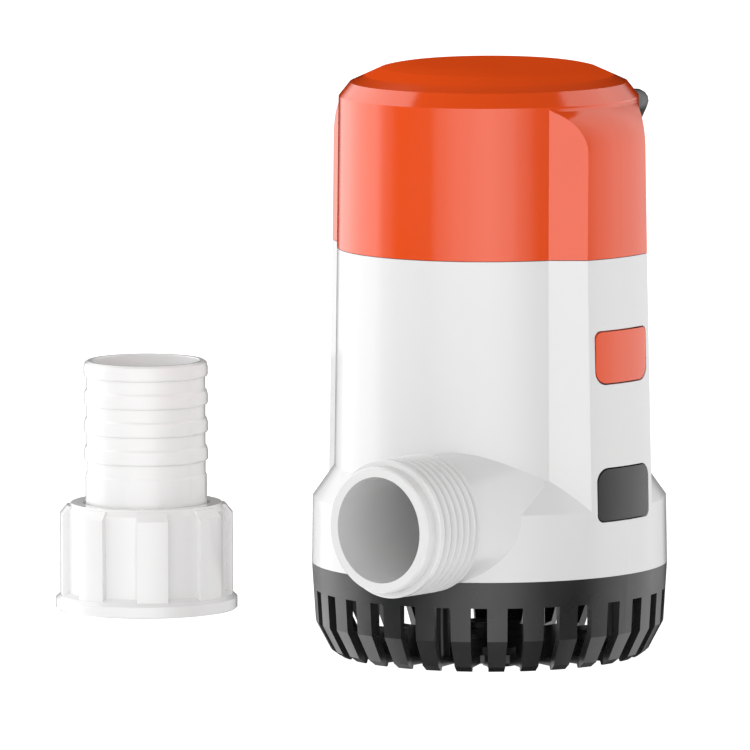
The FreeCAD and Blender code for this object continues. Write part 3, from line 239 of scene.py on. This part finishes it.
def eased(angle, start, end):
    """0 before start, 1 after end, and smooth between."""
    part = min(max((angle - start) / (end - start), 0), 1)
    return part * part * (3 - 2 * part)


def coil_place(angle):
    """Radius and height of the cable's middle at a running angle in degrees: once round outside
    on the floor, then inside it, then inside on top, then outside on top, and off to the floor."""
    half = CABLE_DIAMETER / 2
    radius = COIL_MEAN_RADIUS + half - CABLE_DIAMETER * eased(angle, 310, 360)
    radius += CABLE_DIAMETER * eased(angle, 945, 995)
    height = half + CABLE_DIAMETER * eased(angle, 625, 675)
    leaving = eased(angle, 1230, 1300)
    radius += (CABLE_DIAMETER * 0.94) * math.sin(leaving * math.pi / 2)
    height -= CABLE_DIAMETER * (1 - math.cos(leaving * math.pi / 2))
    return radius, height


def coil_turns(first=40.0, last=1305.0):
    """Control points of the coil. They stand a little outside the line that the spline takes."""
    step = 360 / COIL_POINTS_PER_TURN
    outside = 1 / math.cos(math.radians(step / 2))
    points = []
    for index in range(int((last - first) / step) + 1):
        angle = first + step * index
        radius, height = coil_place(angle)
        way = Vector((math.cos(math.radians(angle)), math.sin(math.radians(angle)), 0))
        points.append(COIL_CENTRE + way * radius * outside + Vector((0, 0, height)))
    return points


def supply_cable():
    data = bpy.data.curves.new("supply_cord", "CURVE")
    data.dimensions = "3D"
    data.bevel_depth = CABLE_DIAMETER / 2
    data.bevel_resolution = 5
    data.use_fill_caps = True
    spline = data.splines.new("NURBS")
    points = [Vector(point) for point in CABLE_ROUTE] + coil_turns()
    spline.points.add(len(points) - 1)
    for place, point in zip(spline.points, points):
        place.co = (*point, 1)
    spline.order_u = 3
    spline.use_endpoint_u = True
    spline.resolution_u = 6
    cable = bpy.data.objects.new("supply_cord", data)
    bpy.context.scene.collection.objects.link(cable)
    data.materials.append(MATERIALS["cable_sheath"])
    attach(cable, "pump")
    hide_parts("supply_cable", "cable_coil")


supply_cable()

# ---------------------------------------------------------------- floor, light and camera

VIEW_AZIMUTH = math.radians(39.5)
TO_CAMERA = Vector((math.sin(VIEW_AZIMUTH), -math.cos(VIEW_AZIMUTH), 0))
CAMERA_DISTANCE = 3.0
CAMERA_HEIGHT = 0.410
CAMERA_PITCH = 0.1137
CAMERA_PAN = -0.0092
CAMERA_ROLL = -0.0029
CAMERA_LENS = 599.5


def add_camera():
    data = bpy.data.cameras.new("camera")
    data.lens = CAMERA_LENS
    data.clip_end = 20
    camera = bpy.data.objects.new("camera", data)
    bpy.context.scene.collection.objects.link(camera)
    camera.location = TO_CAMERA * CAMERA_DISTANCE + Vector((0, 0, CAMERA_HEIGHT))
    turn = Euler((math.pi / 2 - CAMERA_PITCH, 0, VIEW_AZIMUTH - CAMERA_PAN)).to_matrix()
    roll = Matrix.Rotation(CAMERA_ROLL, 3, "Z")
    camera.rotation_euler = (turn @ roll).to_euler()
    bpy.context.scene.camera = camera


def add_ground(name, height, grey, glow):
    """A white plane that gives off some light of its own."""
    bpy.ops.mesh.primitive_plane_add(size=12, location=(0, 0, height))
    ground = bpy.context.object
    ground.name = name
    ground.visible_glossy = False
    material, shader = new_material(name)
    link(material, two_tone(material, noise(material, 3, 2), [grey - 0.01] * 3, [grey + 0.01] * 3),
         shader.inputs["Base Color"])
    shader.inputs["Roughness"].default_value = 0.9
    shader.inputs["Specular IOR Level"].default_value = 0.0
    shader.inputs["Emission Color"].default_value = (1, 1, 1, 1)
    shader.inputs["Emission Strength"].default_value = glow
    ground.data.materials.append(material)
    return ground


def add_floor():
    """A white table that shows almost no shadow, over a dimmer plane that the camera doesn't
    see and that lights the object from below."""
    floor = add_ground("floor", 0, 0.30, 1.05)
    floor.visible_diffuse = False
    floor.visible_shadow = False
    bounce = add_ground("floor_bounce", -0.0005, 0.80, 0.28)
    bounce.visible_camera = False


# Brightness at points round a ring, set to put the highlights where the photograph has
# them: (azimuth, brightness). Azimuth 0 is the camera's side and positive is to its right.
SOFTBOXES = [
    (-165, 0.0), (-150, 1.5), (-130, 2.1), (-96, 2.0), (-84, 0.6), (-72, 0.0), (-46, 0.1),
    (-38, 0.9), (-22, 1.6), (0, 2.15), (14, 1.8), (26, 0.9), (38, 0.1), (66, 0.0), (78, 1.1),
    (95, 1.6), (125, 1.6), (148, 0.9), (162, 0.0),
]


def add_softboxes():
    """A tall ring of soft lamps that only shows in reflections."""
    bpy.ops.mesh.primitive_cylinder_add(
        vertices=96, radius=1.7, depth=5.0, end_fill_type="NOTHING",
        rotation=(0, 0, VIEW_AZIMUTH - math.pi / 2))
    softboxes = bpy.context.object
    softboxes.name = "softboxes"
    softboxes.visible_camera = False
    softboxes.visible_diffuse = False
    softboxes.visible_shadow = False
    material = bpy.data.materials.new("softboxes")
    material.use_nodes = True
    material.node_tree.nodes.remove(material.node_tree.nodes["Principled BSDF"])
    place = node(material, "ShaderNodeTexCoord")
    round_angle = node(material, "ShaderNodeTexGradient", gradient_type="RADIAL")
    link(material, place.outputs["Object"], round_angle.inputs["Vector"])
    ramp = node(material, "ShaderNodeValToRGB")
    ramp.color_ramp.interpolation = "EASE"
    stops = ramp.color_ramp.elements
    brightest = max(brightness for _, brightness in SOFTBOXES)
    while len(stops) < len(SOFTBOXES):
        stops.new(0.5)
    for stop, (azimuth, brightness) in zip(stops, SOFTBOXES):
        stop.position = 0.5 + azimuth / 360
        stop.color = (*[brightness / brightest] * 3, 1)
    link(material, round_angle.outputs["Fac"], ramp.inputs["Fac"])
    lamp = node(material, "ShaderNodeEmission", Strength=brightest)
    link(material, ramp.outputs["Color"], lamp.inputs["Color"])
    link(material, lamp.outputs["Emission"],
         material.node_tree.nodes["Material Output"].inputs["Surface"])
    softboxes.data.materials.append(material)


ADAPTER_PLACE = Vector((-0.118, 0.009, 0.035))
LAMP_AZIMUTH = VIEW_AZIMUTH + math.radians(12)
LAMP_HEIGHT = 0.9


def add_adapter_lamp():
    """A narrow lamp above the camera that only lights the hose adapter's front."""
    towards_lamp = Vector((math.sin(LAMP_AZIMUTH), -math.cos(LAMP_AZIMUTH), LAMP_HEIGHT))
    lamp = bpy.data.lights.new("adapter_lamp", "SPOT")
    lamp.energy = 11.0
    lamp.spot_size = math.radians(4.6)
    lamp.spot_blend = 0.5
    lamp.shadow_soft_size = 0.03
    holder = bpy.data.objects.new("adapter_lamp", lamp)
    bpy.context.scene.collection.objects.link(holder)
    holder.location = ADAPTER_PLACE + towards_lamp
    holder.rotation_euler = towards_lamp.to_track_quat("Z", "Y").to_euler()
    holder.visible_glossy = False


SKY_LEVEL = 1.80
SKY_TOP = 0.19
SKY_LEFT = 1.34
SKY_RIGHT = 0.66
SKY_RADIUS = 2.6


def add_sky():
    """A tent that lights the object from all round and doesn't show in reflections. It is
    brightest at table level and at the camera's left, and dim overhead."""
    bpy.ops.mesh.primitive_uv_sphere_add(
        segments=48, ring_count=24, radius=SKY_RADIUS, rotation=(0, 0, VIEW_AZIMUTH))
    sky = bpy.context.object
    sky.name = "sky"
    sky.visible_camera = False
    sky.visible_glossy = False
    sky.visible_shadow = False
    material = bpy.data.materials.new("sky")
    material.use_nodes = True
    material.node_tree.nodes.remove(material.node_tree.nodes["Principled BSDF"])
    place = node(material, "ShaderNodeTexCoord")
    split = node(material, "ShaderNodeSeparateXYZ")
    link(material, place.outputs["Object"], split.inputs["Vector"])
    by_height = spread(material, split.outputs["Z"], SKY_LEVEL, SKY_TOP, 0, SKY_RADIUS)
    by_side = spread(material, split.outputs["X"], SKY_LEFT, SKY_RIGHT, -SKY_RADIUS, SKY_RADIUS)
    both = node(material, "ShaderNodeMath", operation="MULTIPLY")
    link(material, by_height, both.inputs[0])
    link(material, by_side, both.inputs[1])
    lamp = node(material, "ShaderNodeEmission")
    link(material, both.outputs["Value"], lamp.inputs["Strength"])
    link(material, lamp.outputs["Emission"],
         material.node_tree.nodes["Material Output"].inputs["Surface"])
    sky.data.materials.append(material)
    world = bpy.data.worlds.new("studio")
    world.use_nodes = True
    world.node_tree.nodes["Background"].inputs["Strength"].default_value = 0.0
    bpy.context.scene.world = world


add_camera()
add_floor()
add_softboxes()
add_sky()
add_adapter_lamp()

bpy.context.scene.view_settings.view_transform = "Standard"
